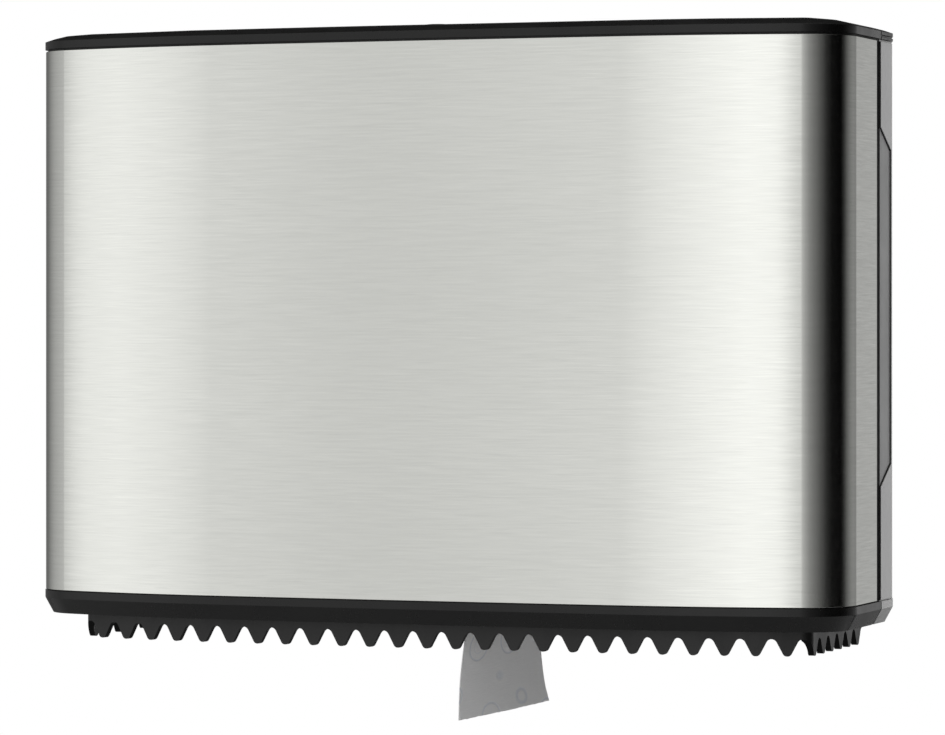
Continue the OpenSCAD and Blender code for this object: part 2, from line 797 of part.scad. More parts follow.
module lock_housing() color([0.3, 0.3, 0.32]) {
    difference() {
        union() {
            translate([0, -lock_d, housing_z0])
                cylinder(r = lock_r + housing_wall, h = ceiling_z - housing_z0);
            intersection() {
                translate([0, -lock_d, ceiling_z - housing_flange_t])
                    cylinder(r = housing_flange_r, h = housing_flange_t);
                slab(housing_z0, ceiling_z) footprint(crown_w + 2 + gap, cover_y + 1);
            }
        }
        translate([0, -lock_d, housing_z0 - 1]) cylinder(r = lock_r + run, h = ceiling_z);
    }
}

module lock_barrel() color([0.2, 0.2, 0.2]) {
    top = crown_z + lock_rise;
    translate([0, -lock_d, 0]) difference() {
        union() {
            translate([0, 0, barrel_z0]) cylinder(r = lock_r, h = top - 0.5 - barrel_z0);
            translate([0, 0, top - 0.5]) cylinder(r1 = lock_r, r2 = lock_r - 0.9, h = 0.3);
            translate([0, 0, top - 0.2]) cylinder(r1 = lock_r - 0.9, r2 = lock_r - 2.6, h = 0.2);
        }
        translate([-slot_w / 2, -slot_l / 2, top - 5]) cube([slot_w, slot_l, 6]);
        translate([0, 0, barrel_z0 - 1]) cylinder(r = 2 + fit, h = 8);
        translate([0, 0, housing_z0 - 1.5]) difference() {
            cylinder(r = lock_r + 1, h = 1.2);
            translate([0, 0, -1]) cylinder(r = lock_r - 0.8, h = 4);
        }
    }
}

module lock_clip() color([0.6, 0.6, 0.6]) {
    translate([0, -lock_d, housing_z0 - 1.5 + seat]) difference() {
        cylinder(r = lock_r + 2.5, h = 1.2 - 2 * seat);
        translate([0, 0, -1]) cylinder(r = lock_r - 0.8 + run, h = 4);
        translate([0, -3, -1]) cube([lock_r + 4, 6, 4]);
    }
}

module latch_cam() color([0.65, 0.65, 0.65]) {
    translate([0, -lock_d, cam_z1 - cam_t]) difference() {
        union() {
            cylinder(r = lock_r, h = cam_t);
            translate([-cam_w / 2, 0, 0]) cube([cam_w, cam_l, cam_t]);
            translate([-hook_w / 2, cam_l - hook_t, 0]) cube([hook_w, hook_t, cam_t + hook_h]);
        }
        translate([0, 0, -1]) cylinder(r = 2.1, h = cam_t + 2);
    }
}

module cam_screw() color([0.7, 0.7, 0.7]) {
    translate([0, -lock_d, cam_z1 - cam_t]) screw(2, 3.6, 2.2, 8);
}

module latch_keeper() color([0.65, 0.65, 0.65]) {
    difference() {
        union() {
            translate([-keeper_w / 2, keeper_y, ceiling_z - keeper_plate_t])
                cube([keeper_w, keeper_l, keeper_plate_t]);
            translate([-keeper_w / 2, keeper_y, cam_z1 + keeper_drop])
                cube([keeper_w, keeper_t, ceiling_z - cam_z1 - keeper_drop]);
        }
        for (x = [-1, 1] * keeper_screw_x) translate([x, keeper_screw_y, ceiling_z - 3])
            cylinder(r = small_screw_r + 0.1, h = 4);
    }
}

module keeper_screws() color([0.7, 0.7, 0.7]) {
    for (x = [-1, 1] * keeper_screw_x) translate([x, keeper_screw_y, ceiling_z - keeper_plate_t])
        screw(small_screw_r, small_head_r, small_head_h, 3);
}

rear_shell();
rear_top_cap();
grip_insert_left();
grip_insert_right();
bottom_tray();
tear_edge();
tray_screws();
hinge_pins();
spindle_bracket();
main_axle();
axle_clip();
brake_washer();
stub_bracket();
stub_axle();
stub_clip();
stub_washer();
bracket_screws();
latch_keeper();
keeper_screws();
paper_tail();
steel_panel();
cover_frame();
top_trim();
bottom_trim();
trim_screws();
lock_housing();
lock_barrel();
lock_clip();
latch_cam();
cam_screw();
roll_hub();
hub_bushes();
core_springs();
roll_core();
paper_roll();
stub_hub();
stub_bushes();
stub_springs();
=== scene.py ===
"""Looks of the jumbo toilet roll dispenser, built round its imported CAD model."""
import json
import math

import bmesh
import bpy
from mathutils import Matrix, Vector, noise


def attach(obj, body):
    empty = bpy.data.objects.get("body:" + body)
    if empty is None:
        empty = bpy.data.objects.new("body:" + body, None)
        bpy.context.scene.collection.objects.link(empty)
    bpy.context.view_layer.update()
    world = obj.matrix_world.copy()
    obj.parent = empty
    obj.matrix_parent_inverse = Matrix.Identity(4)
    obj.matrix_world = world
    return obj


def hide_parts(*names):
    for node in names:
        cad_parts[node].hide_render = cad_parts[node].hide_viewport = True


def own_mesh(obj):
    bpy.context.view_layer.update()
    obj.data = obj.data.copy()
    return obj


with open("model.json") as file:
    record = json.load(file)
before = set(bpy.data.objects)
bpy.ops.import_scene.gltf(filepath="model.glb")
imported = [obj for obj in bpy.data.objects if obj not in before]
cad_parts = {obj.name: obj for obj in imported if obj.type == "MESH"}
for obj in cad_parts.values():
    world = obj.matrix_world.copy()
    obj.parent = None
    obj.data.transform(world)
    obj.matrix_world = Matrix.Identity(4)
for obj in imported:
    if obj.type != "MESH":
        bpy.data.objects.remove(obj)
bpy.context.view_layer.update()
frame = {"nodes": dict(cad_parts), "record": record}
MM = 0.001

# The roll as the CAD has it, in millimetres: its axis, its outer radius and its hole's, and the
# planes of its two ends
ROLL_X, ROLL_R, HOLE_R = -72.0, 86.4, 23.25
PAPER_FRONT, PAPER_REAR = -111.0, -18.0


def add_object(name, data):
    made = bpy.data.objects.new(name, data)
    bpy.context.scene.collection.objects.link(made)
    return made


# ---------------------------------------------------------------- camera

# Solved from the edges in the photograph: the place in metres, the turn about the vertical in
# radians, the focal length and sensor in millimetres, and the shift of the frame
CAMERA_AT, CAMERA_TURN = (0.66226, -1.8292, 0.0), 0.3584
LENS, SENSOR_W, SHIFT_Y = 172.718, 36.0, -0.06033
FAR_CLIP = 60.0


def make_camera():
    data = bpy.data.cameras.new("camera")
    data.sensor_width = SENSOR_W
    data.lens = LENS
    data.shift_y = SHIFT_Y
    data.clip_end = FAR_CLIP
    camera = add_object("camera", data)
    camera.location = CAMERA_AT
    camera.rotation_euler = (math.radians(90), 0.0, CAMERA_TURN)
    bpy.context.scene.camera = camera


make_camera()


# ---------------------------------------------------------------- materials

class Nodes:
    """A short way to write the node tree of a material or a world."""

    def __init__(self, owner, output="OutputMaterial"):
        owner.use_nodes = True
        self.owner, self.tree = owner, owner.node_tree
        self.tree.nodes.clear()
        self.output = self.add(output)

    def add(self, kind, inputs=None, **settings):
        node = self.tree.nodes.new("ShaderNode" + kind)
        for key, value in settings.items():
            setattr(node, key, value)
        for key, value in (inputs or {}).items():
            self.feed(node.inputs[key], value)
        return node

    def feed(self, socket, value):
        if isinstance(value, bpy.types.NodeSocket):
            self.tree.links.new(value, socket)
        elif isinstance(value, tuple) and len(value) == 3 and socket.type == "RGBA":
            socket.default_value = (*value, 1.0)
        else:
            socket.default_value = value

    def place(self):
        """Where the point is on the object, in metres."""
        return self.add("TexCoord").outputs["Object"]

    def normal(self):
        return self.add("NewGeometry").outputs["Normal"]

    def vector(self, operation, a, b=None, scale=None):
        inputs = {key: value for key, value in ((0, a), (1, b), ("Scale", scale))
                  if value is not None}
        return self.add("VectorMath", inputs, operation=operation).outputs["Vector"]

    def parts(self, vector):
        return self.add("SeparateXYZ", {"Vector": vector}).outputs

    def round_roll(self, place):
        """Coordinates from the roll's axis, and the turn round it in radians."""
        xyz = self.parts(self.vector("ADD", place, (-ROLL_X * MM, 0.0, 0.0)))
        return xyz, self.math("ARCTAN2", xyz["Z"], xyz["X"])

    def scaled(self, vector, scale, rotation=(0.0, 0.0, 0.0)):
        return self.add("Mapping", {"Vector": vector, "Scale": scale, "Rotation": rotation}
                        ).outputs["Vector"]

    def noise(self, vector, scale=1.0, detail=3.0, roughness=0.5, distortion=0.0):
        return self.add("TexNoise", {"Vector": vector, "Scale": scale, "Detail": detail,
                                     "Roughness": roughness, "Distortion": distortion}
                        ).outputs["Fac"]

    def spread(self, value, low, high, to_low, to_high, smooth=False):
        return self.add("MapRange", {"Value": value, "From Min": low, "From Max": high,
                                     "To Min": to_low, "To Max": to_high},
                        interpolation_type="SMOOTHSTEP" if smooth else "LINEAR"
                        ).outputs["Result"]

    def math(self, operation, a, b=None):
        node = self.add("Math", operation=operation)
        for socket, value in zip(node.inputs, (a, b)):
            if value is not None:
                self.feed(socket, value)
        return node.outputs[0]

    def mix(self, factor, a, b):
        node = self.add("Mix", data_type="RGBA")
        self.feed(node.inputs["Factor"], factor)
        self.feed(node.inputs["A"], a)
        self.feed(node.inputs["B"], b)
        return node.outputs["Result"]

    def bump(self, height, strength, distance, normal=None):
        node = self.add("Bump", {"Height": height, "Strength": strength, "Distance": distance})
        if normal is not None:
            self.feed(node.inputs["Normal"], normal)
        return node.outputs["Normal"]

    def surface(self, **inputs):
        named = {key.replace("_", " "): value for key, value in inputs.items()}
        return self.finished(self.add("BsdfPrincipled", named).outputs["BSDF"])

    def mixed(self, factor, a, b):
        return self.add("MixShader", {0: factor, 1: a, 2: b}).outputs["Shader"]

    def finished(self, shader):
        self.tree.links.new(shader, self.output.inputs["Surface"])
        return self.owner


def new_material(name):
    return Nodes(bpy.data.materials.new(name))


def shaded(colour, factor):
    return tuple(c * factor for c in colour)


STEEL_DARK, STEEL_LIGHT = (0.640, 0.646, 0.614), (0.690, 0.696, 0.662)
# How often the brushing changes in a metre, along X, Y and Z
FINE_LINES, STROKES, SWAYS = (56.0, 56.0, 1750.0), (34.0, 34.0, 1150.0), (62.0, 62.0, 1400.0)
CLOUDS = (5.0, 5.0, 16.0)
STROKE_TILT = 0.011


def brushed_sheet():
    """Stainless sheet with fine horizontal brushing that goes round the corners. Each stroke
    tilts the surface a little, so the borders of what it reflects look hairy."""
    m = new_material("front_steel")
    p = m.place()
    fine = m.noise(m.scaled(p, FINE_LINES), detail=3.0, roughness=0.6)
    strokes = m.noise(m.scaled(p, STROKES), detail=3.0, roughness=0.65)
    sway = m.noise(m.scaled(p, SWAYS, (0.0, 0.0, 0.7)), detail=2.0, roughness=0.55)
    broad = m.noise(m.scaled(p, CLOUDS), detail=2.0)
    bright = m.spread(strokes, 0.60, 0.74, 0.0, 1.0, smooth=True)
    dull = m.spread(strokes, 0.40, 0.27, 0.0, 1.0, smooth=True)
    tone = m.mix(m.spread(fine, 0.3, 0.7, 0.0, 1.0), STEEL_DARK, STEEL_LIGHT)
    tone = m.mix(m.math("MULTIPLY", bright, 0.5), tone, shaded(STEEL_LIGHT, 1.07))
    tone = m.mix(m.math("MULTIPLY", dull, 0.5), tone, shaded(STEEL_DARK, 0.92))
    tone = m.mix(m.spread(broad, 0.3, 0.7, 0.0, 0.3), tone, shaded(STEEL_DARK, 0.98))
    rough = m.math("SUBTRACT", m.spread(fine, 0.3, 0.7, 0.175, 0.15),
                   m.math("MULTIPLY", bright, 0.015))
    around = m.add("Tangent", direction_type="RADIAL", axis="Z").outputs["Tangent"]
    face = m.normal()
    side = m.vector("CROSS_PRODUCT", (0.0, 0.0, 1.0), face)
    lean = m.vector("SCALE", side, scale=m.spread(sway, 0.0, 1.0, -STROKE_TILT, STROKE_TILT))
    tilted = m.vector("NORMALIZE", m.vector("ADD", face, lean))
    return m.surface(
        Base_Color=tone, Metallic=1.0, Roughness=rough, Anisotropic=0.93,
        Anisotropic_Rotation=0.25, Tangent=around, Specular_Tint=(0.70, 0.70, 0.70),
        Normal=m.bump(fine, 0.12, 0.00005, tilted))


def moulded(name, dark, light, rough=(0.34, 0.44), grain=2200.0, depth=0.00004, strength=0.35,
            **more):
    """Moulded plastic with a spark-eroded grain and a faint mottle."""
    m = new_material(name)
    p = m.place()
    fine = m.noise(p, scale=grain, detail=2.0, roughness=0.6)
    cells = m.add("TexVoronoi", {"Vector": p, "Scale": grain * 0.55}, feature="F1"
                  ).outputs["Distance"]
    mottle = m.noise(p, scale=55.0, detail=4.0, roughness=0.6)
    wear = m.noise(m.scaled(p, (260.0, 260.0, 40.0)), detail=3.0, roughness=0.7)
    grainy = m.math("ADD", m.math("MULTIPLY", fine, 0.6), m.math("MULTIPLY", cells, 0.4))
    blend = m.math("ADD", m.math("MULTIPLY", mottle, 0.55), m.math("MULTIPLY", fine, 0.45))
    tone = m.mix(m.spread(blend, 0.32, 0.68, 0.0, 1.0), dark, light)
    gloss = m.math("ADD", m.spread(mottle, 0.3, 0.7, rough[0], rough[1]),
                   m.spread(wear, 0.45, 0.75, 0.0, 0.035))
    return m.surface(Base_Color=tone, Roughness=gloss,
                     Normal=m.bump(grainy, strength, depth), **more)


def plated(name, dark, light, rough=(0.28, 0.42), scale=90.0, streak=(900.0, 60.0, 900.0)):
    """Plated or bright steel with a cloudy film and fine drawing or turning marks."""
    m = new_material(name)
    p = m.place()
    cloud = m.noise(p, scale=scale, detail=4.0, roughness=0.65, distortion=0.6)
    marks = m.noise(m.scaled(p, streak), detail=2.0)
    tone = m.mix(m.spread(cloud, 0.3, 0.7, 0.0, 1.0), dark, light)
    return m.surface(Base_Color=tone, Metallic=1.0,
                     Roughness=m.spread(cloud, 0.3, 0.7, rough[0], rough[1]),
                     Normal=m.bump(marks, 0.25, 0.00003))


def painted_lock():
    """Dark lacquer over metal, with a slight orange peel."""
    m = new_material("lock_metal")
    p = m.place()
    peel = m.noise(p, scale=1400.0, detail=2.0)
    cloud = m.noise(p, scale=220.0, detail=3.0)
    tone = m.mix(m.spread(cloud, 0.3, 0.7, 0.0, 1.0),
                 (0.018, 0.018, 0.019), (0.036, 0.036, 0.038))
    return m.surface(Base_Color=tone, Roughness=m.spread(cloud, 0.3, 0.7, 0.24, 0.34),
                     Coat_Weight=0.3, Coat_Roughness=0.2, Normal=m.bump(peel, 0.2, 0.00004))


def rubber():
    """Dull rubber with paper dust on it."""
    m = new_material("brake_rubber")
    p = m.place()
    fine = m.noise(p, scale=1800.0, detail=3.0, roughness=0.7)
    dust = m.noise(p, scale=160.0, detail=4.0)
    tone = m.mix(m.spread(dust, 0.35, 0.7, 0.0, 1.0), (0.03, 0.03, 0.03), (0.062, 0.06, 0.057))
    return m.surface(Base_Color=tone, Roughness=m.spread(fine, 0.3, 0.7, 0.6, 0.8),
                     Normal=m.bump(fine, 0.4, 0.0001))


SEAM_PITCH = 0.052      # rise of the core's spiral seam in one turn, in metres


def card():
    """Grey-brown board, wound as a tube with a spiral seam."""
    m = new_material("cardboard")
    p = m.place()
    xyz, turn = m.round_roll(p)
    winding = m.math("ADD", m.math("DIVIDE", turn, 2 * math.pi),
                     m.math("DIVIDE", xyz["Y"], SEAM_PITCH))
    edge = m.spread(m.math("PINGPONG", winding, 0.5), 0.0, 0.02, 1.0, 0.0, smooth=True)
    fibre = m.noise(m.scaled(p, (500.0, 180.0, 500.0)), detail=5.0, roughness=0.7)
    fleck = m.noise(p, scale=900.0, detail=3.0, roughness=0.75)
    tone = m.mix(m.spread(fibre, 0.3, 0.7, 0.0, 1.0), (0.36, 0.29, 0.21), (0.52, 0.43, 0.33))
    tone = m.mix(m.spread(fleck, 0.60, 0.72, 0.0, 0.5), tone, (0.24, 0.19, 0.14))
    tone = m.mix(m.math("MULTIPLY", edge, 0.6), tone, (0.22, 0.17, 0.12))
    return m.surface(Base_Color=tone, Roughness=m.spread(fibre, 0.3, 0.7, 0.75, 0.92),
                     Normal=m.bump(m.math("SUBTRACT", fibre, edge), 0.35, 0.00015))


PATTERN_R = 0.0865                      # radius at which the wound paper is unrolled, in metres
OVALS_ACROSS, OVALS_DOWN = 34.0, 60.0   # cells of the pressed motif in a metre
OVAL_OUT, OVAL_IN = 0.34, 0.17          # radii of its two rings, in cells
PRESSED = (0.58, 0.64, 0.78)            # how the motif darkens the paper's shade


def tissue(name, base, shade, motif, wound=False, sheen=0.5):
    """Soft two-ply tissue with crepe lines, and a faint lattice of ovals pressed into it. Where
    it is wound, its ends show the edges of the turns instead."""
    m = new_material(name)
    p = m.place()
    if wound:
        xyz, turn = m.round_roll(p)
        radius = m.math("SQRT", m.math("ADD", m.math("MULTIPLY", xyz["X"], xyz["X"]),
                                       m.math("MULTIPLY", xyz["Z"], xyz["Z"])))
        unrolled = m.add("CombineXYZ", {"X": xyz["Y"], "Y": m.math("MULTIPLY", turn, PATTERN_R),
                                        "Z": radius}).outputs["Vector"]
        crepe = m.noise(m.scaled(unrolled, (160.0, 1500.0, 300.0)), detail=3.0, roughness=0.6)
        layers = m.noise(m.scaled(unrolled, (0.0, 0.0, 2600.0)), detail=3.0, roughness=0.7)
        bands = m.noise(m.scaled(unrolled, (0.0, 0.0, 260.0)), detail=2.0)
        end = m.spread(m.math("ABSOLUTE", m.parts(m.normal())["Y"]), 0.4, 0.8, 0.0, 1.0)
        wall = m.math("SUBTRACT", 1.0, end)
        relief = m.math("ADD", m.math("MULTIPLY", wall, crepe), m.math("MULTIPLY", end, layers))
        tone = m.mix(m.spread(relief, 0.3, 0.7, 0.0, 1.0), shade, base)
        tone = m.mix(m.math("MULTIPLY", end, m.spread(bands, 0.4, 0.7, 0.0, 0.35)), tone, shade)
        motif = m.math("MULTIPLY", wall, motif)
        lattice = m.scaled(m.scaled(unrolled, (1.0, 1.0, 0.0)),
                           (OVALS_ACROSS, OVALS_DOWN, 1.0), (0.0, 0.0, 0.5))
    else:
        relief = m.noise(m.scaled(p, (300.0, 160.0, 1500.0)), detail=3.0, roughness=0.6)
        cloud = m.noise(p, scale=70.0, detail=4.0, roughness=0.6)
        tone = m.mix(m.spread(relief, 0.3, 0.7, 0.0, 1.0), shade, base)
        tone = m.mix(m.spread(cloud, 0.35, 0.7, 0.0, 0.4), tone, shade)
        lattice = m.scaled(m.scaled(p, (0.0, 1.0, 1.0)),
                           (1.0, OVALS_ACROSS, OVALS_DOWN), (0.6, 0.0, 0.0))
    cells = m.add("TexVoronoi", {"Vector": lattice, "Scale": 1.0, "Randomness": 0.45},
                  feature="F1").outputs["Distance"]

    def ring(at, width, strength):
        off = m.math("ABSOLUTE", m.math("SUBTRACT", cells, at))
        return m.spread(off, 0.0, width, strength, 0.0, smooth=True)

    rings = m.math("MAXIMUM", ring(OVAL_OUT, 0.045, 1.0), ring(OVAL_IN, 0.035, 0.6))
    inside = m.spread(cells, 0.30, 0.36, 0.22, 0.0, smooth=True)
    mark = m.math("MULTIPLY", m.math("MAXIMUM", rings, inside), motif)
    tone = m.mix(mark, tone, tuple(c * f for c, f in zip(shade, PRESSED)))
    height = m.math("SUBTRACT", relief, m.math("MULTIPLY", mark, 1.5))
    return m.surface(Base_Color=tone, Roughness=m.spread(relief, 0.3, 0.7, 0.82, 0.95),
                     Sheen_Weight=sheen, Sheen_Roughness=0.5, Subsurface_Weight=0.9,
                     Subsurface_Scale=0.003, Subsurface_Radius=(1.0, 1.0, 1.0),
                     Specular_IOR_Level=0.2, Normal=m.bump(height, 0.45, 0.0002))


LOOKS = {
    "front_steel": brushed_sheet(),
    "shell_plastic": moulded("shell_plastic", (0.016, 0.016, 0.016), (0.028, 0.028, 0.027),
                             rough=(0.18, 0.25), Specular_IOR_Level=0.8, Coat_Weight=1.0,
                             Coat_Roughness=0.2, Sheen_Weight=1.0, Sheen_Roughness=0.3),
    "insert_plastic": moulded("insert_plastic", (0.018, 0.018, 0.019), (0.032, 0.032, 0.032),
                              rough=(0.27, 0.37), grain=1500.0, depth=0.00006,
                              Specular_IOR_Level=0.65, Coat_Weight=0.5, Coat_Roughness=0.3,
                              Sheen_Weight=0.9, Sheen_Roughness=0.3),
    "trim_plastic": moulded("trim_plastic", (0.004, 0.004, 0.004), (0.007, 0.007, 0.0067),
                            rough=(0.24, 0.31), grain=2600.0, depth=0.00003,
                            Specular_IOR_Level=0.31),
    "frame_plastic": moulded("frame_plastic", (0.006, 0.006, 0.006), (0.011, 0.011, 0.011),
                             rough=(0.45, 0.55), Specular_IOR_Level=0.3),
    "tray_plastic": moulded("tray_plastic", (0.008, 0.008, 0.008), (0.014, 0.014, 0.0135),
                            Specular_IOR_Level=0.36),
    "hub_plastic": moulded("hub_plastic", (0.095, 0.096, 0.102), (0.135, 0.136, 0.142)),
    "bush_plastic": moulded("bush_plastic", (0.70, 0.69, 0.64), (0.78, 0.77, 0.72),
                            rough=(0.22, 0.32), strength=0.15),
    "zinc_steel": plated("zinc_steel", (0.50, 0.50, 0.50), (0.66, 0.66, 0.67)),
    "spring_steel": plated("spring_steel", (0.42, 0.42, 0.42), (0.54, 0.54, 0.54),
                           rough=(0.2, 0.32), scale=60.0, streak=(1400.0, 40.0, 1400.0)),
    "lock_metal": painted_lock(),
    "brake_rubber": rubber(),
    "cardboard": card(),
    "paper": tissue("paper", (0.84, 0.84, 0.84), (0.72, 0.72, 0.73), motif=0.30, wound=True),
}
# The hanging end is the roll's paper painted lighter than the wound roll: a lit copy, painted
# light standing in for the light on it
LIT_TAIL_LOOK = tissue("paper_hanging_painted_lighter", (0.97, 0.97, 0.97), (0.92, 0.92, 0.93), motif=0.75,
                   sheen=1.0)
# The faces under the teeth: a duller cut finish, and a colour darker than the tray's that is
# painted shade
CUT_SHADE_LOOK = moulded("cut_edge_painted_shade", (0.002, 0.002, 0.002), (0.004, 0.004, 0.004), rough=(0.45, 0.55),
                   Specular_IOR_Level=0.08)


# ---------------------------------------------------------------- solids with worked edges

NODE_BODIES = {n: b for b, members in frame["record"]["behaviour"]["bodies"].items()
               for n in members}
# The material slot of each node; those that aren't named here are zinc_steel
NODE_SLOTS = {
    "steel_panel": "front_steel",
    "rear_shell": "shell_plastic", "rear_top_cap": "trim_plastic",
    "grip_insert_left": "insert_plastic", "grip_insert_right": "insert_plastic",
    "top_trim": "trim_plastic", "bottom_trim": "trim_plastic", "cover_frame": "frame_plastic",
    "bottom_tray": "tray_plastic", "tear_edge": "tray_plastic",
    "roll_hub": "hub_plastic", "stub_hub": "hub_plastic",
    "hub_bushes": "bush_plastic", "stub_bushes": "bush_plastic",
    "lock_housing": "frame_plastic", "lock_barrel": "lock_metal",
    "brake_washer": "brake_rubber",
    "core_springs": "spring_steel", "stub_springs": "spring_steel",
    "axle_clip": "spring_steel", "stub_clip": "spring_steel", "lock_clip": "spring_steel",
    "roll_core": "cardboard", "paper_roll": "paper", "paper_tail": "paper",
}
# Radius of the eased edges of each node, and of the others, in millimetres
EDGES = {
    "top_trim": 0.4, "bottom_trim": 0.4, "rear_shell": 0.35,
    "rear_top_cap": 0.4, "tear_edge": 0.35, "bottom_tray": 0.3, "cover_frame": 0.25,
    "grip_insert_left": 0.3, "grip_insert_right": 0.3,
}
SMALL_EDGE = 0.18
OWN_SHAPES = ("steel_panel", "paper_roll", "paper_tail")
WELD = 2e-6                 # points nearer than this are one, in metres
# Faces that meet at less than FLAT are one, edges over ROUNDED are eased, and over SHARP they
# part the shading
FLAT, ROUNDED, SHARP = (math.radians(a) for a in (0.6, 28, 32))
# Faces that look further down than this get the darker colour, which is painted shade
CUT_SHADE_DOWN = -0.2             # a face of the tear edge whose normal is lower than this is a cut one


def clean_mesh(node_name):
    """The node's own surface as a new mesh, with the seams between its triangles closed."""
    bm = bmesh.new()
    bm.from_mesh(frame["nodes"][node_name].data)
    bmesh.ops.remove_doubles(bm, verts=bm.verts, dist=WELD)
    bmesh.ops.dissolve_degenerate(bm, edges=bm.edges, dist=WELD)
    bm.verts.index_update()
    points = [v.co[:] for v in bm.verts]
    faces = [[v.index for v in f.verts] for f in bm.faces]
    bm.free()
    plain = bpy.data.meshes.new(node_name + "_worked")
    plain.from_pydata(points, [], faces)
    plain.update()
    return plain


def worked(node_name, radius):
    """The node with its sharp edges rounded, as a moulded, cut or folded edge is."""
    mesh = clean_mesh(node_name)
    bm = bmesh.new()
    bm.from_mesh(mesh)
    bmesh.ops.dissolve_limit(bm, angle_limit=FLAT, verts=bm.verts, edges=bm.edges,
                             delimit=set())
    bm.to_mesh(mesh)
    bm.free()
    piece = add_object(node_name + "_worked", mesh)
    bevel = piece.modifiers.new("edges", "BEVEL")
    bevel.width = radius * MM
    bevel.segments = 2
    bevel.limit_method = "ANGLE"
    bevel.angle_limit = ROUNDED
    bevel.use_clamp_overlap = True
    bevel.harden_normals = False
    bevel.miter_outer = "MITER_ARC"
    apply_modifiers(piece)
    smooth_faces(piece.data)
    piece.data.set_sharp_from_angle(angle=SHARP)
    weighted = piece.modifiers.new("normals", "WEIGHTED_NORMAL")
    weighted.keep_sharp = True
    weighted.weight = 60
    apply_modifiers(piece)
    dress(piece, node_name)
    return piece


def apply_modifiers(piece):
    graph = bpy.context.evaluated_depsgraph_get()
    done = bpy.data.meshes.new_from_object(piece.evaluated_get(graph), depsgraph=graph)
    piece.modifiers.clear()
    piece.data = done


def smooth_faces(mesh):
    for polygon in mesh.polygons:
        polygon.use_smooth = True


def dress(piece, node_name, look=None):
    """Puts the piece in the node's place, on its body and with its material."""
    slot = NODE_SLOTS[node_name]
    piece.data.materials.clear()
    piece.data.materials.append(look or LOOKS[slot])
    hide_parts(node_name)
    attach(piece, NODE_BODIES[node_name])


def dull_and_shade_cut_faces(piece):
    """The faces cut between the teeth, which look down, are duller than the moulded ones, and
    darker: the dark colour is painted shade under the teeth.
    """
    piece.data.materials.append(CUT_SHADE_LOOK)
    for polygon in piece.data.polygons:
        if polygon.normal.z < CUT_SHADE_DOWN:
            polygon.material_index = 1


for node_name in frame["nodes"]:
    NODE_SLOTS.setdefault(node_name, "zinc_steel")
    if node_name not in OWN_SHAPES:
        made = worked(node_name, EDGES.get(node_name, SMALL_EDGE))
        if node_name == "tear_edge":
            dull_and_shade_cut_faces(made)


# ---------------------------------------------------------------- meshes from rows of points

def grid_mesh(name, rows, closed_u=False, closed_v=False, ends=None):
    """A mesh over rows of points, its faces outwards. Rows close on themselves where asked, and
    the first and last row are closed with one face ("whole") or with quads across ("strips")."""
    count_v, count_u = len(rows), len(rows[0])
    points = [p for row in rows for p in row]
    faces = []
    for i in range(count_v if closed_v else count_v - 1):
        for j in range(count_u if closed_u else count_u - 1):
            a, b = i * count_u, ((i + 1) % count_v) * count_u
            k = (j + 1) % count_u
            faces.append((a + j, a + k, b + k, b + j))
    last = len(points) - 1
    if ends == "whole":
        faces += [tuple(range(count_u)), tuple(range(last, last - count_u, -1))]
    elif ends == "strips":
        faces += [(s + j, s + j + 1, s + count_u - 2 - j, s + count_u - 1 - j)
                  for s in (0, last + 1 - count_u) for j in range(count_u // 2 - 1)]
    mesh = bpy.data.meshes.new(name)
    mesh.from_pydata(points, [], faces)
    mesh.update()
    bm = bmesh.new()
    bm.from_mesh(mesh)
    bmesh.ops.recalc_face_normals(bm, faces=bm.faces)
    bm.to_mesh(mesh)
    bm.free()
    return mesh


# ---------------------------------------------------------------- steel panel

# The body outline as the CAD has it: half width, depth, then the shoulder's and the corner's
# radius and the headings where the arcs meet
HALF_W, BODY_D, SHOULDER_R, CORNER_R = 176.0, 132.0, 296.0, 22.6
TURN_1, TURN_2 = math.radians(1.6), math.radians(15.5)
# The sheet's lower, upper and rear edges and its thickness, how far its edges are eased, and
# how much its corners are taken off at the rear
PANEL_Z0, PANEL_Z1, PANEL_END, PANEL_T = -116.6, 108.4, -68.6, 0.8
PANEL_EASE, PANEL_NIP = 0.12, 0.1


def outline_half():
    """Points and headings along the right half of the body, from the middle of the front."""
    shoulder_x = HALF_W - CORNER_R - (SHOULDER_R - CORNER_R) * math.sin(TURN_2)
    front_r = SHOULDER_R + shoulder_x / math.sin(TURN_1)
    centre = Vector((0.0, -BODY_D + front_r))
    out, radius = [], front_r
    for start, stop, r, count in ((0.0, TURN_1, front_r, 14), (TURN_1, TURN_2, SHOULDER_R, 26),
                                  (TURN_2, math.pi / 2, CORNER_R, 60)):
        centre = centre + (radius - r) * Vector((math.sin(start), -math.cos(start)))
        radius = r
        for i in range(1 if out else 0, count + 1):
            a = start + (stop - start) * i / count
            n = Vector((math.sin(a), -math.cos(a)))
            out.append((centre + r * n, n))
    last, n = out[-1]
    for y in (-80.0, -72.0, PANEL_END + 0.15):      # straight back along the side
        out.append((Vector((last.x, y)), n))
    return out


